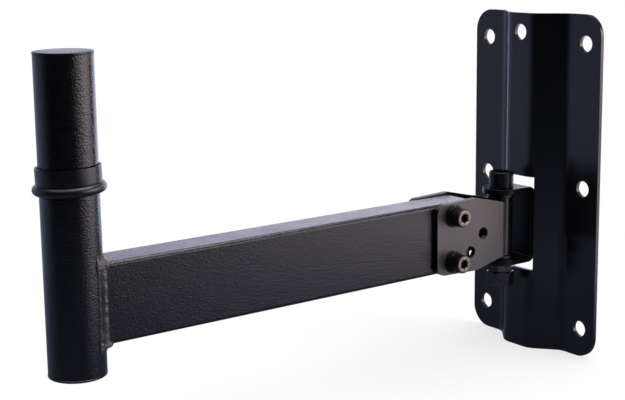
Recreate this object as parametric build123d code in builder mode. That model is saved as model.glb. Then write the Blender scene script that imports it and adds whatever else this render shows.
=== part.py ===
from build123d import *
from math import cos, radians, sin, tan
import os

# Wall bracket for a small loudspeaker with a 35 mm pole socket. Millimetres.
# X runs along the wall, Y towards it and Z up. The origin lies on the wall, in the middle
# of the fixing holes, so everything the bracket carries stands at negative Y.

# Wall plate: one folded sheet, raised along its middle
plate_width = 126
plate_height = 252
plate_sheet = 3
plate_corner = 16
crest_depth = 19
crest_width = 25.2
slope_width = 18.9
crest_bend = 14
foot_bend = 12
fixing_hole = 11.5
fixing_across = 98
fixing_down = 210
crest_hole_edge = 14

# Hinge: a folded C bracket let into the plate, and the vertical pivot in its ears
hinge_reach = 36.5
hinge_level = -30
ear_width = 27
ear_sheet = 4
ear_bend = 1
hinge_height = 57
window_side_gap = 1
window_slot = 6.8

# Pivot: M12 socket screw, held by a thin nut and a full nut
pivot_diameter = 12
pivot_head_diameter = 18
pivot_head_height = 12
pivot_socket = 10
pivot_socket_depth = 6
pivot_nut_flats = 18
thin_nut_height = 6
full_nut_height = 10.8
thin_nut_turn = 7
full_nut_turn = -5
pivot_end = 1.2
barrel_diameter = 17.2
barrel_play = 0.05
barrel_end_gap = 0.1
thrust_washer_diameter = 20
thrust_washer_thickness = 2.5

# Arm bracket: a folded U whose cheeks clamp the arm
arm_level = -28.5
cheek_sheet = 4
cheek_height = 53
cheek_end_height = 50.4
cheek_past_bolts = 15
cheek_corner = 7
cheek_bend = 6
web_height = 40
taper_start = 13.5
taper_end = 40.5
cheek_hole = 8.7

# Tilt: the upper bolt is the pivot, the lower one stands in one of three index holes
tilt_reach = 62.5
tilt_rise = 16.5
index_radius = 33
index_step = 30
index_holes = 3

# Arm: rectangular tube, welded to the pole
arm_width = 26
arm_height = 50
arm_wall = 2
arm_corner = 2.5
arm_past_bolts = 19
arm_root_gap = 0.2

# Cheek bolts: M8 socket screws with washers and lock nuts
bolt_diameter = 8
bolt_head_diameter = 13
bolt_head_height = 8
bolt_socket = 6
bolt_socket_depth = 4
bolt_end = 1.5
bolt_nut_flats = 13
bolt_nut_height = 8
bolt_nut_collar = 2
flat_washer_diameter = 16
flat_washer_thickness = 1.6
spring_washer_diameter = 14.6
spring_washer_thickness = 2
spring_washer_slit = 1.4
thread_clearance = 0.1

# Pole: round tube with plastic end caps and a loose plastic collar
pole_reach = 383
pole_diameter = 35
pole_wall = 2
pole_foot = -70
pole_top = 119
cap_diameter = 35.4
cap_thickness = 1.7
cap_plug_depth = 14
cap_plug_wall = 1.8
cap_edge = 0.7
cap_clearance = 0.1
collar_level = 46.4
collar_height = 16
collar_wall = 1.9
collar_lead = 0.9
collar_clearance = 0.3
collar_seat_depth = 0.4
collar_end_play = 0.3
collar_bead = 3
collar_bead_reach = 21.6
collar_lean = 1.7
collar_lean_heading = 54

# Weld beads
weld_arm = 3.2
weld_arm_fillet = 4.2
weld_barrel = 2.2
weld_bracket = 2.4

hinge_axis = (0, -hinge_reach)
hinge_top = hinge_level + hinge_height / 2
hinge_bottom = hinge_level - hinge_height / 2
barrel_height = (
    hinge_height - 2 * ear_sheet - 2 * thrust_washer_thickness - 2 * barrel_end_gap
)
web_face = -hinge_reach - barrel_diameter / 2
cheek_face = arm_width / 2 + cheek_sheet
tilt_point = (-hinge_reach - tilt_reach, arm_level + tilt_rise)
index_points = [
    (
        tilt_point[0] + index_radius * sin(radians(index_step * i)),
        tilt_point[1] - index_radius * cos(radians(index_step * i)),
    )
    for i in range(index_holes)
]
bolt_points = {"upper": tilt_point, "lower": index_points[0]}
arm_end = tilt_point[0] + arm_past_bolts
pole_axis = (0, -pole_reach)
lean = radians(collar_lean)
heading = radians(collar_lean_heading)
seat_radius = pole_diameter / 2 - collar_seat_depth
seat_height = collar_height + 2 * (collar_bead_reach * sin(lean) + collar_end_play)


def sheet_section(points, radii, thickness, side):
    """Closed section of a folded sheet, from one face's line and its bend radii."""
    with BuildSketch() as section:
        with BuildLine():
            FilletPolyline(*points, radius=radii)
            offset(amount=thickness, side=side)
        make_face()
    return section.sketch


def finish(piece, name):
    """Name a finished piece and write it out."""
    piece.part.label = name
    export_step(piece.part, f"parts/{name}.step")


os.makedirs("parts", exist_ok=True)

# Wall plate. The front line runs along the flange, up one slope, over the crest and back.
crest = crest_width / 2
foot = crest + slope_width
half_plate = plate_width / 2
plate_line = [
    (-half_plate, -plate_sheet),
    (-foot, -plate_sheet),
    (-crest, -crest_depth),
    (crest, -crest_depth),
    (foot, -plate_sheet),
    (half_plate, -plate_sheet),
]
plate_section = sheet_section(
    plate_line, [foot_bend, crest_bend, crest_bend, foot_bend], plate_sheet, Side.LEFT
)
window_height = hinge_height + 2 * window_slot
with BuildPart() as wall_plate:
    with BuildSketch():
        add(plate_section)
    extrude(amount=plate_height / 2, both=True)
    plate_ends = wall_plate.edges().filter_by(Axis.Y)
    fillet(
        plate_ends.group_by(Axis.X)[0] + plate_ends.group_by(Axis.X)[-1], plate_corner
    )
    with BuildSketch(Plane.XZ):
        with GridLocations(fixing_across, fixing_down / 2, 2, 3):
            Circle(fixing_hole / 2)
        with Locations((0, plate_height / 2 - crest_hole_edge)):
            Circle(fixing_hole / 2)
        with Locations((0, hinge_level)):
            Rectangle(ear_width + 2 * window_side_gap, window_height)
    extrude(amount=2 * crest_depth, both=True, mode=Mode.SUBTRACT)
finish(wall_plate, "wall_plate")

# Hinge bracket. Its web lies flush with the crest, and its ears are rounded about the pivot.
ear_tip = -hinge_reach - ear_width / 2
bracket_back = ear_sheet - crest_depth
bracket_line = [
    (ear_tip, hinge_top),
    (bracket_back, hinge_top),
    (bracket_back, hinge_bottom),
    (ear_tip, hinge_bottom),
]
bracket_section = sheet_section(bracket_line, ear_bend + ear_sheet, ear_sheet, Side.RIGHT)
with BuildPart() as hinge_bracket:
    with BuildSketch(Plane.YZ):
        add(bracket_section)
    extrude(amount=ear_width / 2, both=True)
    with BuildSketch(Plane.XY.offset(hinge_bottom)):
        with Locations(hinge_axis):
            Circle(ear_width / 2)
        with Locations((0, (bracket_back - hinge_reach) / 2)):
            Rectangle(ear_width, hinge_reach + bracket_back)
    extrude(amount=hinge_height, mode=Mode.INTERSECT)
    with BuildSketch(Plane.XY.offset(hinge_bottom)):
        with Locations(hinge_axis):
            Circle(pivot_diameter / 2 + thread_clearance)
    extrude(amount=hinge_height, mode=Mode.SUBTRACT)
finish(hinge_bracket, "hinge_bracket")

# Welds between the hinge bracket's web and the plate, on the wall side, hidden in use.
web_length = hinge_height - 2 * (ear_bend + ear_sheet)
seam_side = (ear_width + window_side_gap) / 2
seam_depth = bracket_back + weld_bracket / 3
with BuildPart() as bracket_welds:
    with BuildSketch(Plane.XY.offset(hinge_level - web_length / 2)):
        with Locations((-seam_side, seam_depth), (seam_side, seam_depth)):
            Circle(weld_bracket)
        add(plate_section, mode=Mode.SUBTRACT)
        with Locations((0, bracket_back - ear_sheet / 2)):
            Rectangle(ear_width, ear_sheet, mode=Mode.SUBTRACT)
    extrude(amount=web_length)
finish(bracket_welds, "bracket_welds")


def hex_nut(bottom, flats, height, bore, turn):
    """Hexagon nut on the hinge axis, chamfered on both faces."""
    corner = flats / 2 / cos(radians(30))
    bevel = corner - 0.475 * flats
    with BuildPart() as nut:
        with BuildSketch(Plane.XY.offset(bottom)):
            with Locations(hinge_axis):
                Circle(corner)
        extrude(amount=height)
        chamfer(nut.edges().filter_by(GeomType.CIRCLE), bevel * tan(radians(30)), bevel)
        with BuildSketch(Plane.XY.offset(bottom)):
            with Locations(hinge_axis):
                RegularPolygon(flats / 2, 6, major_radius=False, rotation=turn)
                Circle(bore / 2, mode=Mode.SUBTRACT)
        extrude(amount=height, mode=Mode.INTERSECT)
    return nut


thin_nut_base = hinge_bottom - thin_nut_height
full_nut_base = thin_nut_base - full_nut_height
nut_bore = pivot_diameter + 2 * thread_clearance
pivot_thin_nut = hex_nut(
    thin_nut_base, pivot_nut_flats, thin_nut_height, nut_bore, thin_nut_turn
)
pivot_full_nut = hex_nut(
    full_nut_base, pivot_nut_flats, full_nut_height, nut_bore, full_nut_turn
)
finish(pivot_thin_nut, "pivot_thin_nut")
finish(pivot_full_nut, "pivot_full_nut")

# Pivot screw, its head on the upper ear.
with BuildPart() as pivot_screw:
    with BuildSketch(Plane.XY.offset(full_nut_base - pivot_end)):
        with Locations(hinge_axis):
            Circle(pivot_diameter / 2)
    extrude(amount=hinge_top - full_nut_base + pivot_end)
    chamfer(pivot_screw.edges().group_by(Axis.Z)[0], 0.8)
    with BuildSketch(Plane.XY.offset(hinge_top)):
        with Locations(hinge_axis):
            Circle(pivot_head_diameter / 2)
    extrude(amount=pivot_head_height)
    chamfer(pivot_screw.edges().group_by(Axis.Z)[-1], 0.8)
    with BuildSketch(Plane.XY.offset(hinge_top + pivot_head_height)):
        with Locations(hinge_axis):
            RegularPolygon(pivot_socket / 2, 6, major_radius=False)
    extrude(amount=-pivot_socket_depth, mode=Mode.SUBTRACT)
finish(pivot_screw, "pivot_screw")


def pivot_ring(bottom, height, diameter):
    """Plain ring that turns on the pivot."""
    with BuildPart() as ring:
        with BuildSketch(Plane.XY.offset(bottom)):
            with Locations(hinge_axis):
                Circle(diameter / 2)
                Circle(pivot_diameter / 2 + barrel_play, mode=Mode.SUBTRACT)
        extrude(amount=height)
    return ring


lower_washer_base = hinge_bottom + ear_sheet
upper_washer_base = hinge_top - ear_sheet - thrust_washer_thickness
barrel_base = lower_washer_base + thrust_washer_thickness + barrel_end_gap
lower_thrust_washer = pivot_ring(
    lower_washer_base, thrust_washer_thickness, thrust_washer_diameter
)
upper_thrust_washer = pivot_ring(
    upper_washer_base, thrust_washer_thickness, thrust_washer_diameter
)
hinge_barrel = pivot_ring(barrel_base, barrel_height, barrel_diameter)
finish(lower_thrust_washer, "lower_thrust_washer")
finish(upper_thrust_washer, "upper_thrust_washer")
finish(hinge_barrel, "hinge_barrel")

# Arm bracket. The U is folded round the web behind the barrel, and the cheeks taper
# towards the hinge so that they pass between the ears when the arm swings.
cheek_tip = tilt_point[0] - cheek_past_bolts
cheek_line = [
    (-cheek_face, cheek_tip),
    (-cheek_face, web_face),
    (cheek_face, web_face),
    (cheek_face, cheek_tip),
]
with BuildPart() as arm_bracket:
    with BuildSketch(Plane.XY.offset(arm_level - cheek_height / 2)):
        add(sheet_section(cheek_line, cheek_bend, cheek_sheet, Side.RIGHT))
    extrude(amount=cheek_height)
    with BuildSketch(Plane.YZ) as cheek_outline:
        with BuildLine():
            Polyline(
                (web_face, arm_level + web_height / 2),
                (-hinge_reach - taper_start, arm_level + web_height / 2),
                (-hinge_reach - taper_end, arm_level + cheek_height / 2),
                (cheek_tip, arm_level + cheek_end_height / 2),
                (cheek_tip, arm_level - cheek_end_height / 2),
                (-hinge_reach - taper_end, arm_level - cheek_height / 2),
                (-hinge_reach - taper_start, arm_level - web_height / 2),
                (web_face, arm_level - web_height / 2),
                close=True,
            )
        make_face()
        fillet(cheek_outline.vertices().group_by(Axis.Y)[0], cheek_corner)
        with Locations(tilt_point, *index_points):
            Circle(cheek_hole / 2, mode=Mode.SUBTRACT)
    extrude(amount=cheek_face, both=True, mode=Mode.INTERSECT)
finish(arm_bracket, "arm_bracket")

# Welds between the barrel and the web, one in each groove.
groove = weld_barrel + barrel_diameter / 4
with BuildPart() as barrel_welds:
    with BuildSketch(Plane.XY.offset(arm_level - web_height / 2)):
        with Locations((-groove, web_face), (groove, web_face)):
            Circle(weld_barrel)
        with Locations((0, web_face - weld_barrel)):
            Rectangle(4 * groove, 2 * weld_barrel, mode=Mode.SUBTRACT)
        with Locations(hinge_axis):
            Circle(barrel_diameter / 2, mode=Mode.SUBTRACT)
    extrude(amount=web_height)
finish(barrel_welds, "barrel_welds")

# Arm, its end coped to the pole.
with BuildPart() as arm_tube:
    with BuildSketch(Plane.XZ.offset(-arm_end)):
        with Locations((0, arm_level)):
            RectangleRounded(arm_width, arm_height, arm_corner)
            RectangleRounded(
                arm_width - 2 * arm_wall,
                arm_height - 2 * arm_wall,
                arm_corner - arm_wall,
                mode=Mode.SUBTRACT,
            )
    extrude(amount=pole_reach + arm_end)
    with BuildSketch(Plane.XY.offset(arm_level - arm_height / 2)):
        with Locations(pole_axis):
            Circle(pole_diameter / 2 + arm_root_gap)
    extrude(amount=arm_height, mode=Mode.SUBTRACT)
    with BuildSketch(Plane.YZ):
        with Locations(*bolt_points.values()):
            Circle(cheek_hole / 2)
    extrude(amount=arm_width, both=True, mode=Mode.SUBTRACT)
finish(arm_tube, "arm_tube")

# Pole, turned down a little where the collar sits.
with BuildPart() as pole_tube:
    with BuildSketch(Plane.XY.offset(pole_foot)):
        with Locations(pole_axis):
            Circle(pole_diameter / 2)
            Circle(pole_diameter / 2 - pole_wall, mode=Mode.SUBTRACT)
    extrude(amount=pole_top - pole_foot)
    with BuildSketch(Plane.XY.offset(collar_level - seat_height / 2)):
        with Locations(pole_axis):
            Circle(pole_diameter / 2)
            Circle(seat_radius, mode=Mode.SUBTRACT)
    extrude(amount=seat_height, mode=Mode.SUBTRACT)
finish(pole_tube, "pole_tube")

# Weld round the joint of arm and pole: a bead up each side, and a hollow fillet above and
# below that follows the pole.
arm_half = arm_width / 2
arm_side = -pole_reach + (pole_diameter**2 / 4 - arm_half**2) ** 0.5
pole_front = -pole_reach + pole_diameter / 2
fillet_size = weld_arm_fillet + arm_corner
with BuildPart() as arm_weld:
    with BuildSketch(Plane.XY.offset(arm_level - arm_height / 2)):
        with Locations((-arm_half, arm_side), (arm_half, arm_side)):
            Circle(weld_arm)
    extrude(amount=arm_height)
    with BuildSketch(Plane.YZ):
        for way in (-1, 1):
            corner = arm_level + way * arm_height / 2
            with Locations((pole_front, corner + way * (weld_arm_fillet - arm_corner) / 2)):
                Rectangle(2 * weld_arm_fillet, fillet_size)
            with Locations((pole_front + weld_arm_fillet, corner + way * weld_arm_fillet)):
                Circle(weld_arm_fillet, mode=Mode.SUBTRACT)
    revolve(axis=Axis((*pole_axis, 0), (0, 0, 1)), revolution_arc=360)
    with BuildSketch(Plane.XY.offset(pole_foot)):
        with Locations((0, arm_side + weld_arm)):
            Rectangle(arm_width + 2 * weld_arm, 4 * weld_arm)
    extrude(amount=pole_top - pole_foot, mode=Mode.INTERSECT)
    with BuildSketch(Plane.XY.offset(pole_foot)):
        with Locations(pole_axis):
            Circle(pole_diameter / 2)
    extrude(amount=pole_top - pole_foot, mode=Mode.SUBTRACT)
    with BuildSketch(Plane.XZ.offset(-arm_end)):
        with Locations((0, arm_level)):
            RectangleRounded(arm_width, arm_height, arm_corner)
    extrude(amount=pole_reach + arm_end, mode=Mode.SUBTRACT)
finish(arm_weld, "arm_weld")


def pole_cap(face, inwards):
    """Push-in end cap whose rim lies on the tube's end face."""
    rim = cap_diameter / 2
    plug = pole_diameter / 2 - pole_wall - cap_clearance
    with BuildPart() as cap:
        with BuildSketch(Plane.XY.offset(face)):
            with Locations(pole_axis):
                Circle(rim)
        extrude(amount=-inwards * cap_thickness)
        outer = cap.edges().sort_by(Axis.Z)[0 if inwards > 0 else -1]
        fillet(outer, cap_edge)
        with BuildSketch(Plane.XY.offset(face)):
            with Locations(pole_axis):
                Circle(plug)
                Circle(plug - cap_plug_wall, mode=Mode.SUBTRACT)
        extrude(amount=inwards * cap_plug_depth)
    return cap


pole_cap_top = pole_cap(pole_top, -1)
pole_cap_bottom = pole_cap(pole_foot, 1)
finish(pole_cap_top, "pole_cap_top")
finish(pole_cap_bottom, "pole_cap_bottom")

# Collar: a thin sleeve with a rounded bead at its foot and a tapered mouth. It sits loose
# in its seat and a little crooked.
collar_plane = Plane(
    origin=(*pole_axis, collar_level),
    x_dir=(cos(heading) * cos(lean), sin(heading) * cos(lean), sin(lean)),
    z_dir=(sin(heading), -cos(heading), 0),
)
collar_bore = seat_radius + collar_clearance
collar_outside = Axis(collar_plane.origin, collar_plane.x_dir)
with BuildPart() as pole_collar:
    with BuildSketch(collar_plane) as collar_section:
        with BuildLine():
            Polyline(
                (collar_bore, -collar_height / 2),
                (collar_bore + collar_wall, -collar_height / 2),
                (collar_bore + collar_wall, collar_height / 2),
                (collar_bore + collar_lead, collar_height / 2),
                (collar_bore, collar_height / 2 - 2 * collar_lead),
                close=True,
            )
        make_face()
        rims = collar_section.vertices().group_by(collar_outside)[-1]
        fillet(rims, (collar_wall - collar_lead) / 2)
        with Locations((collar_bead_reach - collar_bead, collar_bead - collar_height / 2)):
            Circle(collar_bead)
        Rectangle(2 * collar_bore, 2 * collar_height, mode=Mode.SUBTRACT)
    revolve(axis=Axis(collar_plane.origin, collar_plane.y_dir))
finish(pole_collar, "pole_collar")


def cheek_disc(point, start, thickness, diameter, bore):
    """Washer on a cheek bolt, from start outwards along X."""
    with BuildPart() as disc:
        with BuildSketch(Plane.YZ.offset(start)):
            with Locations(point):
                Circle(diameter / 2)
                Circle(bore / 2, mode=Mode.SUBTRACT)
        extrude(amount=thickness)
    return disc


washer_bore = bolt_diameter + 2 * thread_clearance
head_base = cheek_face + flat_washer_thickness + spring_washer_thickness
nut_face = -cheek_face - flat_washer_thickness
for place, point in bolt_points.items():
    with BuildPart() as cheek_bolt:
        with BuildSketch(Plane.YZ.offset(nut_face - bolt_nut_height - bolt_end)):
            with Locations(point):
                Circle(bolt_diameter / 2)
        extrude(amount=head_base - nut_face + bolt_nut_height + bolt_end)
        chamfer(cheek_bolt.edges().group_by(Axis.X)[0], 0.6)
        with BuildSketch(Plane.YZ.offset(head_base)):
            with Locations(point):
                Circle(bolt_head_diameter / 2)
        extrude(amount=bolt_head_height)
        chamfer(cheek_bolt.edges().group_by(Axis.X)[-1], 0.6)
        with BuildSketch(Plane.YZ.offset(head_base + bolt_head_height)):
            with Locations(point):
                RegularPolygon(bolt_socket / 2, 6, major_radius=False)
        extrude(amount=-bolt_socket_depth, mode=Mode.SUBTRACT)
    finish(cheek_bolt, f"{place}_cheek_bolt")

    flat_washer = cheek_disc(
        point, cheek_face, flat_washer_thickness, flat_washer_diameter, washer_bore
    )
    finish(flat_washer, f"{place}_flat_washer")

    with BuildPart() as spring_washer:
        with BuildSketch(Plane.YZ.offset(cheek_face + flat_washer_thickness)):
            with Locations(point):
                Circle(spring_washer_diameter / 2)
                Circle(washer_bore / 2, mode=Mode.SUBTRACT)
                with Locations((0, -spring_washer_diameter / 2)):
                    Rectangle(
                        spring_washer_slit,
                        spring_washer_diameter,
                        rotation=20,
                        mode=Mode.SUBTRACT,
                    )
        extrude(amount=spring_washer_thickness)
    finish(spring_washer, f"{place}_spring_washer")

    nut_washer = cheek_disc(
        point, nut_face, flat_washer_thickness, flat_washer_diameter, washer_bore
    )
    finish(nut_washer, f"{place}_nut_washer")

    with BuildPart() as lock_nut:
        with BuildSketch(Plane.YZ.offset(nut_face)):
            with Locations(point):
                RegularPolygon(bolt_nut_flats / 2, 6, major_radius=False)
        extrude(amount=-(bolt_nut_height - bolt_nut_collar))
        with BuildSketch(Plane.YZ.offset(nut_face - bolt_nut_height + bolt_nut_collar)):
            with Locations(point):
                Circle(0.46 * bolt_nut_flats)
        extrude(amount=-bolt_nut_collar)
        fillet(lock_nut.edges().group_by(Axis.X)[0], bolt_nut_collar / 2)
        with BuildSketch(Plane.YZ.offset(nut_face)):
            with Locations(point):
                Circle(washer_bore / 2)
        extrude(amount=-bolt_nut_height, mode=Mode.SUBTRACT)
    finish(lock_nut, f"{place}_lock_nut")
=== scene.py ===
import bpy
import bmesh
from math import atan2, cos, hypot, pi, radians, sin
from mathutils import Matrix, Vector, noise


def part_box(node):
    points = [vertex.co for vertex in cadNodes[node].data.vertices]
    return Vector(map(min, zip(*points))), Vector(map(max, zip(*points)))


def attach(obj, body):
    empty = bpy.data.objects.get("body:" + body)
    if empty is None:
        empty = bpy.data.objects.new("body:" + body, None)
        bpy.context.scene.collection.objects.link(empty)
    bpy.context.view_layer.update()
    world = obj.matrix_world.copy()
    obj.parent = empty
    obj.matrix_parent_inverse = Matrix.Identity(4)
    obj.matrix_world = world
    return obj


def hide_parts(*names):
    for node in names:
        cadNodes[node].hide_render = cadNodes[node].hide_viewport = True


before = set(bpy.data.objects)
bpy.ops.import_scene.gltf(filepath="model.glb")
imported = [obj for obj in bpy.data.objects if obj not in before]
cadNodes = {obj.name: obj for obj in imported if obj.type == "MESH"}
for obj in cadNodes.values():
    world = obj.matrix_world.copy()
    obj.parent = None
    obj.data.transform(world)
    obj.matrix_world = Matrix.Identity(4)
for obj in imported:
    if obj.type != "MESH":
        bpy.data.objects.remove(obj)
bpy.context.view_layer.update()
print("frame loaded:", len(cadNodes), "nodes")

mm = 0.001
alongX = Vector((1, 0, 0))
alongY = Vector((0, 1, 0))
alongZ = Vector((0, 0, 1))


def middle(nodeName):
    low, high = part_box(nodeName)
    return (low + high) / 2


def extent(nodeName):
    low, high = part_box(nodeName)
    return high - low


# the camera, solved from the plate's holes and the straight edges in the photo
cameraSetup = {
    "place": (675.8 * mm, -700.2 * mm, 182.0 * mm),
    "azimuth": 53.98,  # degrees round from the wall's normal
    "dip": 10.22,  # degrees below level
    "roll": -0.75,
    "sensor": 36.0,
    "lens": 74.32,  # mm, on that sensor's width
    "shiftDown": -0.048,  # the photo was framed from above its middle
    "clip": (0.01, 100.0),
}


def placeCamera(setup):
    azimuth = radians(setup["azimuth"])
    dip = radians(setup["dip"])
    back = Vector((sin(azimuth) * cos(dip), -cos(azimuth) * cos(dip), sin(dip)))
    lens = bpy.data.cameras.new("camera")
    lens.lens = setup["lens"]
    lens.sensor_width = setup["sensor"]
    lens.shift_y = setup["shiftDown"]
    lens.clip_start, lens.clip_end = setup["clip"]
    camera = bpy.data.objects.new("camera", lens)
    camera.rotation_mode = "QUATERNION"
    roll = Matrix.Rotation(radians(setup["roll"]), 3, "Z").to_quaternion()
    camera.rotation_quaternion = (-back).to_track_quat("-Z", "Y") @ roll
    camera.location = setup["place"]
    bpy.context.scene.collection.objects.link(camera)
    bpy.context.scene.camera = camera


placeCamera(cameraSetup)
print("camera placed")


# small steps shared by the materials
def newMaterial(name):
    material = bpy.data.materials.new(name)
    material.use_nodes = True
    tree = material.node_tree
    shader = tree.nodes["Principled BSDF"]
    place = tree.nodes.new("ShaderNodeTexCoord")
    return material, tree, shader, place.outputs["Object"]


def addNoise(tree, place, size, detail, rough=0.5):
    pattern = tree.nodes.new("ShaderNodeTexNoise")
    pattern.inputs["Scale"].default_value = 1 / size
    pattern.inputs["Detail"].default_value = detail
    pattern.inputs["Roughness"].default_value = rough
    tree.links.new(place, pattern.inputs["Vector"])
    return pattern.outputs["Fac"]


# noise mostly lies between 0.3 and 0.7
def addRange(tree, value, low, high, fromLow=0.3, fromHigh=0.7):
    spread = tree.nodes.new("ShaderNodeMapRange")
    spread.inputs["From Min"].default_value = fromLow
    spread.inputs["From Max"].default_value = fromHigh
    spread.inputs["To Min"].default_value = low
    spread.inputs["To Max"].default_value = high
    tree.links.new(value, spread.inputs["Value"])
    return spread.outputs["Result"]


def feed(tree, socket, value):
    if isinstance(value, tuple):
        socket.default_value = (*value, 1)  # a colour
    elif isinstance(value, (int, float)):
        socket.default_value = value
    else:
        tree.links.new(value, socket)


def addMath(tree, operation, first, second=0.0):
    step = tree.nodes.new("ShaderNodeMath")
    step.operation = operation
    feed(tree, step.inputs[0], first)
    feed(tree, step.inputs[1], second)
    return step.outputs["Value"]


def addMix(tree, kind, share, first, second):
    mix = tree.nodes.new("ShaderNodeMix")
    mix.data_type = kind
    feed(tree, mix.inputs["Factor"], share)
    feed(tree, mix.inputs["A"], first)
    feed(tree, mix.inputs["B"], second)
    return mix.outputs["Result"]


def mixColours(tree, share, first, second):
    return addMix(tree, "RGBA", share, first, second)


def mixValues(tree, share, first, second):
    return addMix(tree, "FLOAT", share, first, second)


# a slow drift from dark to pale: sets the roughness and gives back the colour
def addDrift(tree, shader, pattern, finish):
    tint = mixColours(tree, addRange(tree, pattern, 0.0, 1.0), finish["dark"], finish["pale"])
    tree.links.new(addRange(tree, pattern, *finish["roughness"]), shader.inputs["Roughness"])
    return tint


def addBump(tree, height, depth, under=None):
    bump = tree.nodes.new("ShaderNodeBump")
    bump.inputs["Strength"].default_value = 1.0
    bump.inputs["Distance"].default_value = depth
    tree.links.new(height, bump.inputs["Height"])
    if under is not None:
        tree.links.new(under, bump.inputs["Normal"])
    return bump.outputs["Normal"]


# the arm and the pole: powder coat with a fine pebbled grain
grainedCoat = {
    "dark": (0.0004, 0.0004, 0.0009),
    "pale": (0.0011, 0.001, 0.0018),
    "roughness": (0.17, 0.25),
    "specular": 0.5,
    "pebble": 1.1 * mm,  # width of one pebble of the grain
    "pebbleDepth": 0.12 * mm,
    "fineGrain": 0.75 * mm,
    "fineDepth": 0.055 * mm,
    "pebbleMerge": 0.6,  # how softly one pebble runs into the next
    "pebbleSpan": (0.1, 0.9),
    "cloud": 18 * mm,  # width of the slow drift in colour and roughness
}
weldCoat = dict(
    grainedCoat,
    dark=(0.0105, 0.009, 0.0105),
    pale=(0.02, 0.017, 0.0195),
    roughness=(0.36, 0.5),
    specular=0.8,
)


def makeGrainedCoat(name, coat):
    material, tree, shader, place = newMaterial(name)
    waver = tree.nodes.new("ShaderNodeTexNoise")  # waves two pebbles wide make them uneven
    waver.inputs["Scale"].default_value = 0.5 / coat["pebble"]
    tree.links.new(place, waver.inputs["Vector"])
    warp = tree.nodes.new("ShaderNodeVectorMath")
    warp.operation = "MULTIPLY_ADD"
    tree.links.new(waver.outputs["Color"], warp.inputs[0])
    warp.inputs[1].default_value = (coat["pebble"],) * 3
    tree.links.new(place, warp.inputs[2])
    cells = tree.nodes.new("ShaderNodeTexVoronoi")
    cells.feature = "SMOOTH_F1"
    cells.inputs["Scale"].default_value = 1 / coat["pebble"]
    cells.inputs["Smoothness"].default_value = coat["pebbleMerge"]
    tree.links.new(warp.outputs["Vector"], cells.inputs["Vector"])
    pebbles = addRange(tree, cells.outputs["Distance"], 1.0, 0.0, *coat["pebbleSpan"])
    fine = addNoise(tree, place, coat["fineGrain"], detail=2.0)
    cloud = addNoise(tree, place, coat["cloud"], detail=4.0)
    tree.links.new(addDrift(tree, shader, cloud, coat), shader.inputs["Base Color"])
    coarseBump = addBump(tree, pebbles, coat["pebbleDepth"])
    tree.links.new(addBump(tree, fine, coat["fineDepth"], coarseBump), shader.inputs["Normal"])
    shader.inputs["Specular IOR Level"].default_value = coat["specular"]
    return material


# the plate and the brackets: smooth coat with a faint orange peel
smoothCoat = {
    "dark": (0.0007, 0.0008, 0.0016),
    "pale": (0.0014, 0.0015, 0.0026),
    "roughness": (0.18, 0.26),
    "specular": 0.5,
    "peel": 2.6 * mm,  # width of a wave of the orange peel
    "peelDepth": 0.014 * mm,
    "speck": 0.5 * mm,
    "speckDepth": 0.003 * mm,
    "cloud": 30 * mm,
}
# a paler, warmer copy of the smooth coat for the arm bracket and the barrel welds: its base
# colour is painted sheen, standing in for the side lamp's light on the cheeks
sheenPaintedBracketCoat = dict(
    smoothCoat,
    dark=(0.0185, 0.0132, 0.0128),
    pale=(0.0262, 0.019, 0.0182),
    roughness=(0.34, 0.44),
    specular=0.82,
    speckDepth=0.014 * mm,
)
# the hinge bracket's coat, which is also laid on the arm bracket's cut ends and inner faces as
# painted shade
hingeCoat = dict(smoothCoat, roughness=(0.28, 0.38), specular=0.18)


def makeSmoothCoat(name, coat):
    material, tree, shader, place = newMaterial(name)
    peel = addNoise(tree, place, coat["peel"], detail=2.0)
    speck = addNoise(tree, place, coat["speck"], detail=1.0)
    cloud = addNoise(tree, place, coat["cloud"], detail=4.0)
    tree.links.new(addDrift(tree, shader, cloud, coat), shader.inputs["Base Color"])
    peelBump = addBump(tree, peel, coat["peelDepth"])
    tree.links.new(addBump(tree, speck, coat["speckDepth"], peelBump), shader.inputs["Normal"])
    shader.inputs["Specular IOR Level"].default_value = coat["specular"]
    return material


# caps, collar and thrust washers
blackPlastic = {
    "dark": (0.0006, 0.0006, 0.0011),
    "pale": (0.0016, 0.0016, 0.0024),
    "roughness": (0.26, 0.36),
    "spark": 0.4 * mm,  # width of the moulded surface's fine texture
    "sparkDepth": 0.016 * mm,
    "flow": 10 * mm,  # width of the slow drift in colour and roughness
}


def makePlastic(plastic):
    material, tree, shader, place = newMaterial("blackPlastic")
    spark = addNoise(tree, place, plastic["spark"], detail=2.0)
    flow = addNoise(tree, place, plastic["flow"], detail=3.0)
    tree.links.new(addDrift(tree, shader, flow, plastic), shader.inputs["Base Color"])
    tree.links.new(addBump(tree, spark, plastic["sparkDepth"]), shader.inputs["Normal"])
    return material


# screws, nuts and washers: oiled black oxide, paler along sharp edges from wear and a painted
# glint, with a painted highlight on the cheek bolts' head faces
blackOxide = {
    "dark": (0.009, 0.008, 0.008),
    "pale": (0.038, 0.032, 0.029),
    "edgeWearAndGlint": (0.2, 0.15, 0.11),
    "paintedGlint": (0.2, 0.178, 0.148),  # the face of a head: painted highlight
    "edgeWearAndGlintSpan": (0.54, 0.62),  # how sharp an edge has to be before it takes the wear and painted glint colour
    "paintedGlintLeast": 0.35,  # the least share of the painted highlight, where the mottle runs pale
    "paintedGlintSpan": (0.45, 0.68),
    "roughness": (0.28, 0.44),
    "metallic": 0.9,
    "mottle": 1.2 * mm,
    "scratch": 0.25 * mm,
    "scratchDepth": 0.006 * mm,
}
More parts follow.
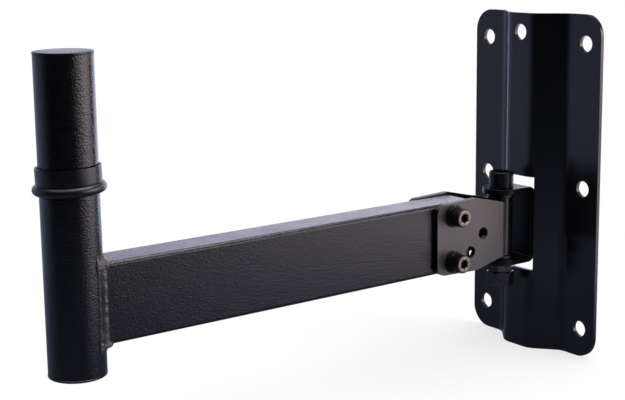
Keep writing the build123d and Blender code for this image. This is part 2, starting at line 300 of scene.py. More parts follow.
# on the nuts the sharp edges are paler still: painted glint on top of the wear
nutOxide = dict(
    blackOxide,
    dark=(0.016, 0.015, 0.016),
    pale=(0.07, 0.064, 0.067),
    edgeWearAndGlint=(0.5, 0.46, 0.44),
    roughness=(0.17, 0.27),
)
pivotOxide = dict(
    blackOxide,
    dark=(0.007, 0.0075, 0.009),
    pale=(0.03, 0.031, 0.036),
    edgeWearAndGlint=(0.15, 0.15, 0.16),
    roughness=(0.2, 0.3),
)


def makeOxide(name, oxide):
    material, tree, shader, place = newMaterial(name)
    mottle = addNoise(tree, place, oxide["mottle"], detail=4.0, rough=0.6)
    scratch = addNoise(tree, place, oxide["scratch"], detail=2.0)
    skin = addDrift(tree, shader, mottle, oxide)
    # sharp edges turn paler: wear, and on the nuts a painted glint
    edge = tree.nodes.new("ShaderNodeNewGeometry")
    wearAndGlintEdges = addRange(tree, edge.outputs["Pointiness"], 0.0, 1.0, *oxide["edgeWearAndGlintSpan"])
    wearAndGlintColour = mixColours(tree, wearAndGlintEdges, skin, oxide["edgeWearAndGlint"])
    # painted highlight: the face and rim of a cheek bolt's head take a pale colour, patchy
    # with the mottle
    paintedHeadGlint = tree.nodes.new("ShaderNodeAttribute")
    paintedHeadGlint.attribute_name = "paintedHeadGlint"
    patchy = addRange(tree, mottle, 1.0, oxide["paintedGlintLeast"], *oxide["paintedGlintSpan"])
    paintedGlint = addMath(tree, "MULTIPLY", paintedHeadGlint.outputs["Fac"], patchy)
    tree.links.new(mixColours(tree, paintedGlint, wearAndGlintColour, oxide["paintedGlint"]), shader.inputs["Base Color"])
    tree.links.new(addBump(tree, scratch, oxide["scratchDepth"]), shader.inputs["Normal"])
    shader.inputs["Metallic"].default_value = oxide["metallic"]
    return material


materials = {
    "grained": makeGrainedCoat("grainedCoat", grainedCoat),
    "weld": makeGrainedCoat("weldCoat", weldCoat),
    "smooth": makeSmoothCoat("smoothCoat", smoothCoat),
    "hinge": makeSmoothCoat("hingeCoat", hingeCoat),
    "bracket": makeSmoothCoat("sheenPaintedBracketCoat", sheenPaintedBracketCoat),
    "plastic": makePlastic(blackPlastic),
    "oxide": makeOxide("blackOxide", blackOxide),
    "nut": makeOxide("nutOxide", nutOxide),
    "pivot": makeOxide("pivotOxide", pivotOxide),
}
print("materials made:", len(materials))


# small steps shared by the meshes
near = 0.01 * mm  # a corner this close to a place lies on it
same = 0.001 * mm  # corners this close together are one


def easeEdges(mesh, width, segments=3, sharpAngle=28.0):
    sharp = [
        edge for edge in mesh.edges
        if len(edge.link_faces) == 2 and edge.calc_face_angle(0.0) > radians(sharpAngle)
    ]
    bmesh.ops.bevel(
        mesh, geom=sharp, offset=width, offset_type="OFFSET", segments=segments,
        profile=0.5, affect="EDGES", material=-1, clamp_overlap=True,
    )


def mergedCopy(nodeName, flatness=0.4):
    mesh = bmesh.new()
    mesh.from_mesh(cadNodes[nodeName].data)
    bmesh.ops.remove_doubles(mesh, verts=mesh.verts, dist=2 * same)
    bmesh.ops.dissolve_limit(
        mesh, angle_limit=radians(flatness), verts=mesh.verts, edges=mesh.edges
    )
    return mesh


def finishPiece(mesh, name, body, finish, replaced, smoothAngle=35.0):
    data = bpy.data.meshes.new(name)
    bmesh.ops.remove_doubles(mesh, verts=mesh.verts, dist=0.5 * same)
    for face in mesh.faces:
        face.smooth = True
    mesh.to_mesh(data)
    mesh.free()
    data.set_sharp_from_angle(angle=radians(smoothAngle))
    data.materials.append(materials[finish])
    piece = bpy.data.objects.new(name, data)
    bpy.context.scene.collection.objects.link(piece)
    evenOut = piece.modifiers.new("evenNormals", "WEIGHTED_NORMAL")
    evenOut.keep_sharp = True
    evenOut.weight = 60  # above 50, the larger faces lead
    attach(piece, body)
    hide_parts(*replaced)
    return piece


def lathe(outline, steps, closed):
    mesh = bmesh.new()
    verts = [mesh.verts.new((radius, 0, height)) for radius, height in outline]
    edges = [mesh.edges.new(pair) for pair in zip(verts, verts[1:])]
    if closed:
        edges.append(mesh.edges.new((verts[-1], verts[0])))
    bmesh.ops.spin(
        mesh, geom=verts + edges, cent=(0, 0, 0), axis=(0, 0, 1), dvec=(0, 0, 0),
        angle=2 * pi, steps=steps, use_merge=True, use_duplicate=False,
    )
    bmesh.ops.remove_doubles(mesh, verts=mesh.verts, dist=same)
    bmesh.ops.recalc_face_normals(mesh, faces=mesh.faces)
    return mesh


def standAt(mesh, point, direction):
    turn = alongZ.rotation_difference(direction).to_matrix().to_4x4()
    bmesh.ops.transform(mesh, matrix=Matrix.Translation(point) @ turn, verts=mesh.verts)


# folded sheets, arm and nuts: the frame's own forms, with their edges eased by the coat
easedPieces = {  # node, body, finish and width of the eased edge
    "wallPlate": ("wall_plate", "wall_side", "smooth", 0.7 * mm),
    "hingeBracket": ("hinge_bracket", "wall_side", "hinge", 0.35 * mm),
    "armBracket": ("arm_bracket", "arm", "bracket", 0.7 * mm),
    "armTube": ("arm_tube", "arm", "grained", 0.4 * mm),
    "pivotThinNut": ("pivot_thin_nut", "wall_side", "nut", 0.35 * mm),
    "pivotFullNut": ("pivot_full_nut", "wall_side", "nut", 0.35 * mm),
    "upperLockNut": ("upper_lock_nut", "arm", "oxide", 0.2 * mm),
    "lowerLockNut": ("lower_lock_nut", "arm", "oxide", 0.2 * mm),
}
cheek = {
    "corner": 7.0 * mm,  # rounds the cheeks' free corners
    "cornerSteps": 10,
    "tipDepth": 0.1 * mm,  # edges this close to the arm's side are at the tip
    "inside": 13.2 * mm,  # faces nearer the middle than this are inner ones
    "cutEnd": 0.8,  # faces turned this much to the arm's side are cut ends
}


def roundCheeks(mesh, cheek):
    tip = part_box("arm_bracket")[0].y
    corners = [
        edge for edge in mesh.edges
        if all(abs(vert.co.y - tip) < cheek["tipDepth"] for vert in edge.verts)
        and abs(edge.verts[0].co.z - edge.verts[1].co.z) < cheek["tipDepth"]
    ]
    bmesh.ops.bevel(
        mesh, geom=corners, offset=cheek["corner"], offset_type="OFFSET",
        segments=cheek["cornerSteps"], profile=0.5, affect="EDGES", material=-1,
        clamp_overlap=True,
    )


# seams along the arm's end and top let the painted shade on the cheeks end there
def splitOverArm(mesh):
    for direction in (alongY, alongZ):
        bmesh.ops.bisect_plane(
            mesh, geom=mesh.verts[:] + mesh.edges[:] + mesh.faces[:],
            plane_co=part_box("arm_tube")[1], plane_no=direction, dist=same,
        )


# painted shade: the cut ends, and the inner faces apart from the strip over the arm, take the
# darker hinge coat where shade falls on them
def paintShadeInside(piece, cheek):
    piece.data.materials.append(materials["hinge"])
    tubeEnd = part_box("arm_tube")[1]
    for face in piece.data.polygons:
        inside = abs(face.center.x) < cheek["inside"]
        overArm = face.center.z > tubeEnd.z and face.center.y < tubeEnd.y
        cutEnd = face.normal.y < -cheek["cutEnd"]
        if cutEnd or (inside and not overArm):
            face.material_index = 1


for name, (nodeName, body, finish, edge) in easedPieces.items():
    mesh = mergedCopy(nodeName)
    if name == "armBracket":
        roundCheeks(mesh, cheek)
        splitOverArm(mesh)
    easeEdges(mesh, edge)
    piece = finishPiece(mesh, name, body, finish, [nodeName])
    if name == "armBracket":
        paintShadeInside(piece, cheek)
print("folded sheets, arm and nuts made")

# pole: a drawn tube, turned down under the collar
pole = {
    "wall": 2.0 * mm,
    "seatDepth": 0.4 * mm,  # the collar hides this stretch
    "seatLow": 37.459 * mm,
    "seatHigh": 55.341 * mm,
    "edge": 0.25 * mm,
    "steps": 128,
}


def makePole(pole):
    low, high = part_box("pole_tube")
    axis = middle("pole_tube")
    outer = extent("pole_tube").x / 2
    inner, seat = outer - pole["wall"], outer - pole["seatDepth"]
    mesh = lathe([
        (outer, low.z), (outer, pole["seatLow"]), (seat, pole["seatLow"]),
        (seat, pole["seatHigh"]), (outer, pole["seatHigh"]), (outer, high.z),
        (inner, high.z), (inner, low.z),
    ], pole["steps"], closed=True)
    easeEdges(mesh, pole["edge"], segments=2)
    standAt(mesh, (axis.x, axis.y, 0), alongZ)
    finishPiece(mesh, "poleTube", "arm", "grained", ["pole_tube"])


makePole(pole)

# caps: a thin crowned rim over a hollow plug
cap = {
    "rim": 1.7 * mm,
    "rimEdge": 0.7 * mm,
    "seam": 0.4 * mm,  # the groove that shows between the rim and the pole
    "crown": 0.12 * mm,
    "crownWidth": 0.55,  # the crown is nearly level out to this share of the radius
    "crownFall": 0.3,  # and has lost this share of its height there
    "inside": 0.2 * mm,  # level of the hollow's roof
    "plugRadius": 15.4 * mm,
    "plugWall": 1.8 * mm,
    "plugDepth": 14 * mm,
    "plugLead": 0.8 * mm,
    "steps": 128,
}


def makeCap(cap, name, nodeName, face, outwards):
    axis = middle(nodeName)
    radius = extent(nodeName).x / 2
    edge = cap["rimEdge"]
    rimTop = cap["rim"] - cap["crown"]
    shoulder = [
        (radius - edge + edge * sin(radians(turn)), rimTop - edge + edge * cos(radians(turn)))
        for turn in range(0, 91, 15)
    ]
    crown = [
        (0, cap["rim"]),
        (cap["crownWidth"] * radius, cap["rim"] - cap["crownFall"] * cap["crown"]),
    ]
    plug = cap["plugRadius"]
    bore = plug - cap["plugWall"]
    foot = -cap["plugDepth"]
    underside = [
        (radius, cap["seam"]), (radius - cap["seam"], 0), (plug, 0),
        (plug, foot + cap["plugLead"]), (plug - 0.5 * cap["plugLead"], foot),
        (bore, foot), (bore, cap["inside"]), (0, cap["inside"]),
    ]
    mesh = lathe(crown + shoulder + underside, cap["steps"], closed=False)
    if outwards < 0:
        bmesh.ops.rotate(
            mesh, verts=mesh.verts, cent=(0, 0, 0), matrix=Matrix.Rotation(pi, 3, "X")
        )
    standAt(mesh, (axis.x, axis.y, face), alongZ)
    finishPiece(mesh, name, "arm", "plastic", [nodeName])


makeCap(cap, "poleCapTop", "pole_cap_top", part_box("pole_tube")[1].z, 1)
makeCap(cap, "poleCapBottom", "pole_cap_bottom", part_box("pole_tube")[0].z, -1)

# collar: a loose sleeve with a tapered mouth and a rounded bead, a little crooked on the pole
collar = {
    "level": 46.4 * mm,
    "lean": 1.7,  # degrees off the pole, towards leanHeading
    "leanHeading": 54.0,
    "height": 16 * mm,
    "boreRadius": 17.4 * mm,
    "wall": 1.9 * mm,
    "mouth": 0.9 * mm,  # width of the taper inside the top edge
    "lip": 0.35 * mm,
    "lipEase": 0.3,  # how far in the lip's rounding passes, as a share of it
    "beadRadius": 3.0 * mm,
    "beadReach": 21.6 * mm,
    "crease": 0.3 * mm,  # depth of the groove above the bead
    "steps": 128,
}


def makeCollar(collar):
    half = collar["height"] / 2
    inner, outer = collar["boreRadius"], collar["boreRadius"] + collar["wall"]
    lip, ease = collar["lip"], collar["lipEase"] * collar["lip"]
    bead = collar["beadRadius"]
    beadCentre = collar["beadReach"] - bead
    beadLevel = bead - half
    roundBead = [
        (beadCentre + bead * cos(radians(turn)), beadLevel + bead * sin(radians(turn)))
        for turn in range(68, -91, -8)
    ]
    mouth = collar["mouth"]
    taper = [
        (inner, -half), (inner, half - 2 * mouth),
        (inner + mouth - 0.4 * lip, half - 0.8 * lip), (inner + mouth, half),
    ]
    roundLip = [(outer - lip, half), (outer - ease, half - ease), (outer, half - lip)]
    groove = [
        (outer, beadLevel + bead + 3 * collar["crease"]),
        (outer - collar["crease"], beadLevel + bead),
    ]
    mesh = lathe(taper + roundLip + groove + roundBead, collar["steps"], closed=True)
    lean, heading = radians(collar["lean"]), radians(collar["leanHeading"])
    upwards = Vector((-cos(heading) * sin(lean), -sin(heading) * sin(lean), cos(lean)))
    axis = middle("pole_tube")
    standAt(mesh, (axis.x, axis.y, collar["level"]), upwards)
    finishPiece(mesh, "poleCollar", "arm", "plastic", ["pole_collar"], smoothAngle=28.0)


makeCollar(collar)
print("pole, caps and collar made")

# plain rings: barrel, thrust washers, flat washers
barrel = {
    "body": "arm", "finish": "smooth", "direction": alongZ,
    "bore": 12.1 * mm, "edge": 0.5 * mm, "steps": 96,
}
thrustWasher = {
    "body": "wall_side", "finish": "plastic", "direction": alongZ,
    "bore": 12.1 * mm, "edge": 0.35 * mm, "steps": 96,
}
boltWasher = {
    "body": "arm", "finish": "oxide", "direction": alongX,
    "bore": 8.2 * mm, "edge": 0.25 * mm, "steps": 96,
}


def makeRing(name, nodeName, ring):
    size = extent(nodeName)
    half = size.dot(ring["direction"]) / 2
    inner, outer = ring["bore"] / 2, size.y / 2
    section = [(inner, -half), (outer, -half), (outer, half), (inner, half)]
    mesh = lathe(section, ring["steps"], closed=True)
    easeEdges(mesh, ring["edge"])
    standAt(mesh, middle(nodeName), ring["direction"])
    finishPiece(mesh, name, ring["body"], ring["finish"], [nodeName])


makeRing("hingeBarrel", "hinge_barrel", barrel)
makeRing("upperThrustWasher", "upper_thrust_washer", thrustWasher)
makeRing("lowerThrustWasher", "lower_thrust_washer", thrustWasher)
makeRing("upperFlatWasher", "upper_flat_washer", boltWasher)
makeRing("lowerFlatWasher", "lower_flat_washer", boltWasher)
makeRing("upperNutWasher", "upper_nut_washer", boltWasher)
makeRing("lowerNutWasher", "lower_nut_washer", boltWasher)
print("barrel and washers made")

# socket screws: knurled head, hexagon socket, threaded end
pivotScrew = {
    "node": "pivot_screw", "body": "wall_side", "finish": "pivot", "direction": alongZ,
    "shank": 6.0 * mm, "head": 9.0 * mm, "headHeight": 12.0 * mm,
    "socket": 10.0 * mm, "socketDepth": 6.0 * mm,
    "pitch": 1.75 * mm, "threads": 4, "steps": 120,
    "rim": 0.9 * mm, "notch": 0.14 * mm, "paintedHeadGlint": 0.0, "paintedHeadGlintRim": 0.0,
}
cheekBolt = {
    "body": "arm", "finish": "oxide", "direction": alongX,
    "shank": 4.0 * mm, "head": 6.5 * mm, "headHeight": 8.0 * mm,
    "socket": 6.0 * mm, "socketDepth": 4.0 * mm,
    "pitch": 1.25 * mm, "threads": 4, "steps": 96,
    "rim": 1.0 * mm, "notch": 0.2 * mm, "paintedHeadGlint": 1.0, "paintedHeadGlintRim": 0.25,
}
screwForm = {  # the same on every screw
    "threadDepth": 0.61,  # in pitches
    "thread": ((0.12, 0), (0.24, 0), (0.54, 1), (0.68, 1)),  # pitches on, thread depths in
    "lead": (0.15, 0.75),  # chamfer at the point: thread depths in, thread depths on
    "runOut": 0.4,  # in pitches
    "foot": ((0.5, 0.0), (0.1, 0.3), (0.0, 0.7)),  # round the head's foot: rims in, rims up
    "crown": ((0.0, 1.4), (0.1, 1.0), (0.3, 0.5), (0.62, 0.18), (1.1, 0.0)),  # in, down
    "socketEdge": 0.35,  # in rims
    "drillPoint": 0.25,  # its depth, as a share of the socket's reach to a corner
    "paintedHeadGlintDepth": 0.4,  # in rims from the top
}


def hexagonReach(angle, flats):
    return flats / 2 / cos((angle % (pi / 3)) - pi / 6)


def screwOutline(screw, form, length):
    shank, head, top = screw["shank"], screw["head"], screw["headHeight"]
    rim, pitch = screw["rim"], screw["pitch"]
    depth = form["threadDepth"] * pitch
    leadIn, leadOn = form["lead"]
    start = leadOn * depth - length
    outline = [(0, -length), (shank - depth, -length), (shank - leadIn * depth, start)]
    outline += [
        (shank - inwards * depth, start + (turn + onwards) * pitch)
        for turn in range(screw["threads"]) for onwards, inwards in form["thread"]
    ]
    outline += [(shank, outline[-1][1] + form["runOut"] * pitch), (shank, 0)]
    outline += [(head - inwards * rim, upwards * rim) for inwards, upwards in form["foot"]]
    outline += [(head - inwards * rim, top - down * rim) for inwards, down in form["crown"]]
    corner, edge = hexagonReach(0, screw["socket"]), form["socketEdge"] * rim
    bottom = top - screw["socketDepth"]
    outline += [
        (corner + edge, top), (corner, top - edge),
        (corner, bottom), (0, bottom - form["drillPoint"] * corner),
    ]
    return outline


# every other step of the head goes in by a notch, and the socket's round wall turns hexagonal
def cutHead(mesh, screw, form):
    head, top, rim = screw["head"], screw["headHeight"], screw["rim"]
    corner = hexagonReach(0, screw["socket"])
    knurlLow, knurlHigh = form["foot"][-1][1] * rim, top - form["crown"][0][1] * rim
    bottom, edge = top - screw["socketDepth"], form["socketEdge"] * rim
    paintedHeadGlint = mesh.verts.layers.float.new("paintedHeadGlint")
    for vert in mesh.verts:
        angle = atan2(vert.co.y, vert.co.x)
        reach = hypot(vert.co.x, vert.co.y)
        inKnurl = knurlLow - near < vert.co.z < knurlHigh + near
        inSocket = bottom - near < vert.co.z < top - edge + near
        oddStep = round(angle / (2 * pi) * screw["steps"]) % 2
        wanted = reach
        if inKnurl and oddStep and abs(reach - head) < near:
            wanted = head - screw["notch"]
        elif inSocket and abs(reach - corner) < near:
            wanted = hexagonReach(angle, screw["socket"])
        vert.co.xy *= wanted / max(reach, same)
        # the face and rim of the head carry the painted highlight
        if vert.co.z > top - form["paintedHeadGlintDepth"] * rim:
            onFace = wanted < head - rim
            vert[paintedHeadGlint] = screw["paintedHeadGlint"] if onFace else screw["paintedHeadGlintRim"]


def makeSocketScrew(name, screw, form):
    low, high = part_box(screw["node"])
    direction = screw["direction"]
    length = (high - low).dot(direction) - screw["headHeight"]
    mesh = lathe(screwOutline(screw, form, length), screw["steps"], closed=False)
    cutHead(mesh, screw, form)
    centre = (low + high) / 2
    seat = centre + direction * ((high - centre).dot(direction) - screw["headHeight"])
    standAt(mesh, seat, direction)
    finishPiece(
        mesh, name, screw["body"], screw["finish"], [screw["node"]], smoothAngle=26.0
    )


makeSocketScrew("pivotScrew", pivotScrew, screwForm)
makeSocketScrew("upperCheekBolt", dict(cheekBolt, node="upper_cheek_bolt"), screwForm)
makeSocketScrew("lowerCheekBolt", dict(cheekBolt, node="lower_cheek_bolt"), screwForm)

# spring washers: one turn of square wire, cut through
springWasher = {
    "bore": 8.2 * mm,
    "slit": 1.4 * mm,
    "rise": 0.2 * mm,  # how far the two ends stand apart
    "slitTurn": -70.0,  # degrees
    "edge": 0.15 * mm,
    "steps": 90,
}


def makeSpringWasher(name, nodeName, washer):
    size = extent(nodeName)
    outer, inner = size.y / 2, washer["bore"] / 2
    thick = size.x - washer["rise"]
    mesh = bmesh.new()
    section = [
        mesh.verts.new((radius, 0, height))
        for radius, height in ((inner, 0), (outer, 0), (outer, thick), (inner, thick))
    ]
    edges = [mesh.edges.new(pair) for pair in zip(section, section[1:] + section[:1])]
    turn = 2 * pi - washer["slit"] / (0.5 * (inner + outer))
    bmesh.ops.spin(
        mesh, geom=section + edges, cent=(0, 0, 0), axis=(0, 0, 1),
        dvec=(0, 0, washer["rise"] / washer["steps"]), angle=turn,
        steps=washer["steps"], use_merge=False, use_duplicate=False,
    )
    bmesh.ops.holes_fill(mesh, edges=mesh.edges, sides=4)
    bmesh.ops.recalc_face_normals(mesh, faces=mesh.faces)
    easeEdges(mesh, washer["edge"], segments=2)
    slitTurn = Matrix.Rotation(radians(washer["slitTurn"]), 3, "Z")
    bmesh.ops.rotate(mesh, verts=mesh.verts, cent=(0, 0, 0), matrix=slitTurn)
    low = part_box(nodeName)[0]
    centre = middle(nodeName)
    standAt(mesh, (low.x, centre.y, centre.z), alongX)
    finishPiece(mesh, name, "arm", "oxide", [nodeName])


makeSpringWasher("upperSpringWasher", "upper_spring_washer", springWasher)
makeSpringWasher("lowerSpringWasher", "lower_spring_washer", dict(springWasher, slitTurn=35.0))
print("screws and spring washers made")

# welds under the coat: rippled beads that run up the joint, lumpy where the arc wandered
weldPieces = {
    "armWeld": {
        "node": "arm_weld", "body": "arm", "finish": "weld", "voxel": 0.4 * mm,
        "ripple": 2.2 * mm, "rippleDepth": 0.07 * mm, "lump": 3.8 * mm, "lumpDepth": 0.4 * mm,
        "swell": 0.25 * mm, "flare": 1.5 * mm, "flareReach": 1.8 * mm, "flareLean": 0.3,
    },
    "barrelWelds": {
        "node": "barrel_welds", "body": "arm", "finish": "bracket", "voxel": 0.3 * mm,
        "ripple": 1.6 * mm, "rippleDepth": 0.08 * mm, "lump": 2.6 * mm, "lumpDepth": 0.14 * mm,
        "swell": 0.08 * mm,
    },
    "bracketWelds": {
        "node": "bracket_welds", "body": "wall_side", "finish": "smooth", "voxel": 0.35 * mm,
        "ripple": 1.9 * mm, "rippleDepth": 0.16 * mm, "lump": 3.0 * mm, "lumpDepth": 0.2 * mm,
        "swell": 0.08 * mm,
    },
}
weldForm = {  # the same on every weld
    "smoothing": 0.5,
    "wander": 0.8,  # how far the ripples stray, in ripples
    "wanderWidth": 2.5,  # in lumps
}


# the coat fills the crease at the weld's foot, so the foot runs out along the pole
def spreadOnPole(mesh, weld):
    axis = middle("pole_tube")
    radius = extent("pole_tube").x / 2
    for vert in mesh.verts:
        outwards = Vector((vert.co.x - axis.x, vert.co.y - axis.y, 0))
        distance = outwards.length
        outwards.normalize()
        closeness = 1 - (distance - radius) / weld["flareReach"]
        facing = vert.normal.dot(outwards)
        sideways = vert.normal - facing * outwards
        if closeness <= 0 or sideways.length < weld["flareLean"]:
            continue
        shift = weld["flare"] * min(closeness, 1.0) ** 2 * min(1.0, 1 - facing)
        moved = outwards * distance + sideways.normalized() * shift
        moved.xy = moved.xy.normalized() * distance
        vert.co = Vector((axis.x, axis.y, vert.co.z)) + moved


def voxelCopy(nodeName, voxel):
    mesh = mergedCopy(nodeName)
    rough = bpy.data.meshes.new("weldRough")
    mesh.to_mesh(rough)
    mesh.free()
    draft = bpy.data.objects.new("weldRough", rough)
    bpy.context.scene.collection.objects.link(draft)
    voxels = draft.modifiers.new("voxels", "REMESH")
    voxels.mode = "VOXEL"
    voxels.voxel_size = voxel
    depsgraph = bpy.context.evaluated_depsgraph_get()
    solid = bpy.data.meshes.new_from_object(draft.evaluated_get(depsgraph))
    bpy.data.objects.remove(draft)
    mesh = bmesh.new()
    mesh.from_mesh(solid)
    return mesh


def makeWeld(name, weld, form):
    mesh = voxelCopy(weld["node"], weld["voxel"])
    bmesh.ops.smooth_vert(
        mesh, verts=mesh.verts, factor=form["smoothing"],
        use_axis_x=True, use_axis_y=True, use_axis_z=True,
    )
    mesh.normal_update()
    if "flare" in weld:
        spreadOnPole(mesh, weld)
        mesh.normal_update()
    for vert in mesh.verts:
        drift = noise.noise(vert.co / (form["wanderWidth"] * weld["lump"]))
        wave = sin(pi * (vert.co.z / weld["ripple"] + form["wander"] * drift))
        lump = noise.noise(vert.co / weld["lump"])
        rise = weld["rippleDepth"] * (abs(wave) - 0.5) + weld["lumpDepth"] * lump
        vert.co += vert.normal * (weld["swell"] + rise)
    finishPiece(mesh, name, weld["body"], weld["finish"], [weld["node"]], smoothAngle=80.0)


for name, weld in weldPieces.items():
    makeWeld(name, weld, weldForm)
print("welds made")

# studio: white paper all round for the camera, and a dark room in front of the bracket that
# only its gloss shows, as behind any camera
studio = {
    "floorSize": 3.0,
    "floorSteps": 96,
    "paper": (0.9, 0.9, 0.9),
    "paperRoughness": 0.9,
    "skyLevel": 0.75,  # how strongly the world lights the bracket
    "shadowKept": 0.41,  # how much of the real light the camera sees on the floor close by
    "fade": (0.06, 0.42),  # metres from the frame's origin over which that ends
    # what the gloss shows round the horizon: degrees from the wall's normal, brightness
    "surround": (
        (-180, 1.8), (-134, 1.75), (-115, 1.2), (-88, 0.7), (-72, 0.52), (-50, 0.42),
        (-34, 0.36), (-16, 0.15), (0, 0.03), (20, 0.015), (84, 0.015), (98, 0.08), (108, 0.2),
        (115, 0.32), (126, 0.55), (134, 0.95), (145, 3.0), (162, 2.5), (180, 1.8),
    ),
    # what it shows on the floor: metres to the right, brightness
    "floorGlow": (
        (-1.0, 0.45), (-0.5, 0.42), (-0.3, 0.26), (-0.15, 0.2), (0.0, 0.16), (0.1, 0.2),
        (0.25, 0.6), (0.45, 1.9), (1.0, 1.9),
    ),
    "behind": 1.8,  # the floor behind the wall plate is bright right across
    "behindSpan": (0.03, 0.25),  # metres behind the wall
    "floorLeast": 0.18,  # the least that it shows of the floor close by
    "leastSpan": (0.5, 1.4),  # metres from the frame's origin
    "floorCentre": (0.03, -0.36, 0),  # the room's walls stand round this place
    "belt": 0.15,  # a dim belt between the bright walls and the roof
    "beltSpan": (0.3, 0.42),  # sine of the height, as in roofSpan
    "roof": 2.0,
    "roofSpan": (0.72, 0.88),
    "cool": (0.8, 0.92, 1.34),  # the gloss from the front left
    "warm": (1.12, 0.97, 1.08),  # and from the back right
    "tintAround": (-1.3, 0.6),  # where cool turns warm, by x + y of the direction
    "tintAcross": (0.1, 0.5),  # and on the floor, by x + y in metres
}
lamps = {
    "topLamp": {
        "place": (0.1, 0.3, 1.6), "target": (0, -0.2, 0), "size": (1.6, 1.2), "watts": 17,
        "colour": (0.93, 0.96, 1.0),
    },
    "sideLamp": {
        "place": (1.5, 0.9, 0.45), "target": (0, -0.3, 0), "size": (1.6, 1.1), "watts": 14,
        "colour": (1.0, 0.95, 0.93),
    },
}


def addLevels(tree, value, levels):
    low, high = levels[0][0], levels[-1][0]
    brightest = max(level for place, level in levels)
    band = tree.nodes.new("ShaderNodeFloatCurve")
    curve = band.mapping.curves[0]
    for place, level in levels[1:-1]:
        curve.points.new((place - low) / (high - low), level / brightest)
    curve.points[0].location = (0.0, levels[0][1] / brightest)
    curve.points[-1].location = (1.0, levels[-1][1] / brightest)
    for point in curve.points:
        point.handle_type = "AUTO_CLAMPED"
    band.mapping.update()
    tree.links.new(addRange(tree, value, 0.0, 1.0, low, high), band.inputs["Value"])
    return addMath(tree, "MULTIPLY", band.outputs["Value"], brightest)


def splitVector(tree, vector):
    apart = tree.nodes.new("ShaderNodeSeparateXYZ")
    tree.links.new(vector, apart.inputs["Vector"])
    return apart.outputs


def addSurround(tree, direction, studio):
    part = splitVector(tree, direction)
    azimuth = addMath(tree, "ARCTAN2", part["X"], addMath(tree, "MULTIPLY", part["Y"], -1.0))
    return addLevels(tree, addMath(tree, "DEGREES", azimuth), studio["surround"])


def addTint(tree, part, glossy, reach, studio):
    side = addMath(tree, "ADD", part["X"], part["Y"])
    share = addRange(tree, side, 0.0, 1.0, *reach)
    tint = mixColours(tree, share, studio["cool"], studio["warm"])
    return mixColours(tree, glossy, (1, 1, 1), tint)


# which rays see the white ground, and which see the room
def rayKinds(tree):
    rays = tree.nodes.new("ShaderNodeLightPath").outputs
    seen = addMath(tree, "MAXIMUM", rays["Is Camera Ray"], rays["Is Transmission Ray"])
    return seen, rays["Is Glossy Ray"]


def makeWorld(studio):
    world = bpy.data.worlds.new("studioWorld")
    world.use_nodes = True
    tree = world.node_tree
    background = tree.nodes["Background"]
    seen, glossy = rayKinds(tree)
    direction = tree.nodes.new("ShaderNodeTexCoord").outputs["Generated"]
    part = splitVector(tree, direction)
    belt = addRange(tree, part["Z"], 0.0, 1.0, *studio["beltSpan"])
    roof = addRange(tree, part["Z"], 0.0, 1.0, *studio["roofSpan"])
    room = mixValues(tree, belt, addSurround(tree, direction, studio), studio["belt"])
    room = mixValues(tree, roof, room, studio["roof"])
    strength = mixValues(tree, glossy, mixValues(tree, seen, studio["skyLevel"], 1.0), room)
    tint = addTint(tree, part, glossy, studio["tintAround"], studio)
    tree.links.new(tint, background.inputs["Color"])
    tree.links.new(strength, background.inputs["Strength"])
    bpy.context.scene.world = world


def addFloorRoom(tree, place, spot, distance, studio):
    offset = tree.nodes.new("ShaderNodeVectorMath")
    offset.operation = "SUBTRACT"
    tree.links.new(place, offset.inputs[0])
    offset.inputs[1].default_value = studio["floorCentre"]
    room = addSurround(tree, offset.outputs["Vector"], studio)
    least = addRange(tree, distance, studio["floorLeast"], 0.0, *studio["leastSpan"])
    behind = addRange(tree, spot["Y"], 0.0, 1.0, *studio["behindSpan"])
    glow = addLevels(tree, spot["X"], studio["floorGlow"])
    limit = mixValues(tree, behind, glow, studio["behind"])
    return addMath(tree, "MINIMUM", addMath(tree, "MAXIMUM", room, least), limit)


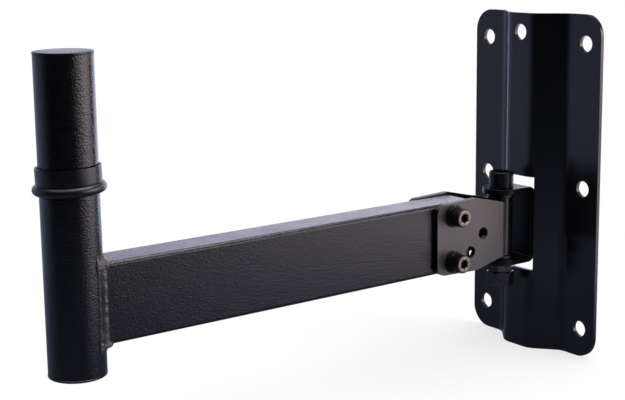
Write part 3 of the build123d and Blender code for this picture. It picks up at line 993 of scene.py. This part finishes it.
def makeFloorPaper(studio):
    material, tree, paper, place = newMaterial("floorPaper")
    paper.inputs["Base Color"].default_value = (*studio["paper"], 1)
    paper.inputs["Roughness"].default_value = studio["paperRoughness"]
    paper.inputs["Specular IOR Level"].default_value = 0.0
    seen, glossy = rayKinds(tree)
    spot = splitVector(tree, place)
    length = tree.nodes.new("ShaderNodeVectorMath")
    length.operation = "LENGTH"
    tree.links.new(place, length.inputs[0])
    distance = length.outputs["Value"]
    room = addFloorRoom(tree, place, spot, distance, studio)
    glow = tree.nodes.new("ShaderNodeEmission")
    tint = addTint(tree, spot, glossy, studio["tintAcross"], studio)
    tree.links.new(tint, glow.inputs["Color"])
    tree.links.new(mixValues(tree, glossy, 1.0, room), glow.inputs["Strength"])
    fade = addRange(tree, distance, 1 - studio["shadowKept"], 1.0, *studio["fade"])
    share = mixValues(tree, glossy, addMath(tree, "MULTIPLY", seen, fade), 1.0)
    both = tree.nodes.new("ShaderNodeMixShader")
    tree.links.new(share, both.inputs["Fac"])
    tree.links.new(paper.outputs["BSDF"], both.inputs[1])
    tree.links.new(glow.outputs["Emission"], both.inputs[2])
    tree.links.new(both.outputs["Shader"], tree.nodes["Material Output"].inputs["Surface"])
    return material


def makeFloor(studio, level):
    mesh = bmesh.new()
    bmesh.ops.create_circle(
        mesh, cap_ends=True, radius=studio["floorSize"], segments=studio["floorSteps"],
        matrix=Matrix.Translation((0, 0, level)),
    )
    data = bpy.data.meshes.new("floor")
    mesh.to_mesh(data)
    mesh.free()
    data.materials.append(makeFloorPaper(studio))
    floor = bpy.data.objects.new("floor", data)
    bpy.context.scene.collection.objects.link(floor)


def makeLamp(name, lamp):
    light = bpy.data.lights.new(name, "AREA")
    light.shape = "RECTANGLE"
    light.size, light.size_y = lamp["size"]
    light.energy = lamp["watts"]
    light.color = lamp["colour"]
    holder = bpy.data.objects.new(name, light)
    holder.location = lamp["place"]
    aim = Vector(lamp["target"]) - Vector(lamp["place"])
    holder.rotation_mode = "QUATERNION"
    holder.rotation_quaternion = aim.to_track_quat("-Z", "Y")
    bpy.context.scene.collection.objects.link(holder)


makeWorld(studio)
makeFloor(studio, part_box("wall_plate")[0].z)
for name, lamp in lamps.items():
    makeLamp(name, lamp)
bpy.context.scene.view_settings.view_transform = "Standard"
print("studio made")
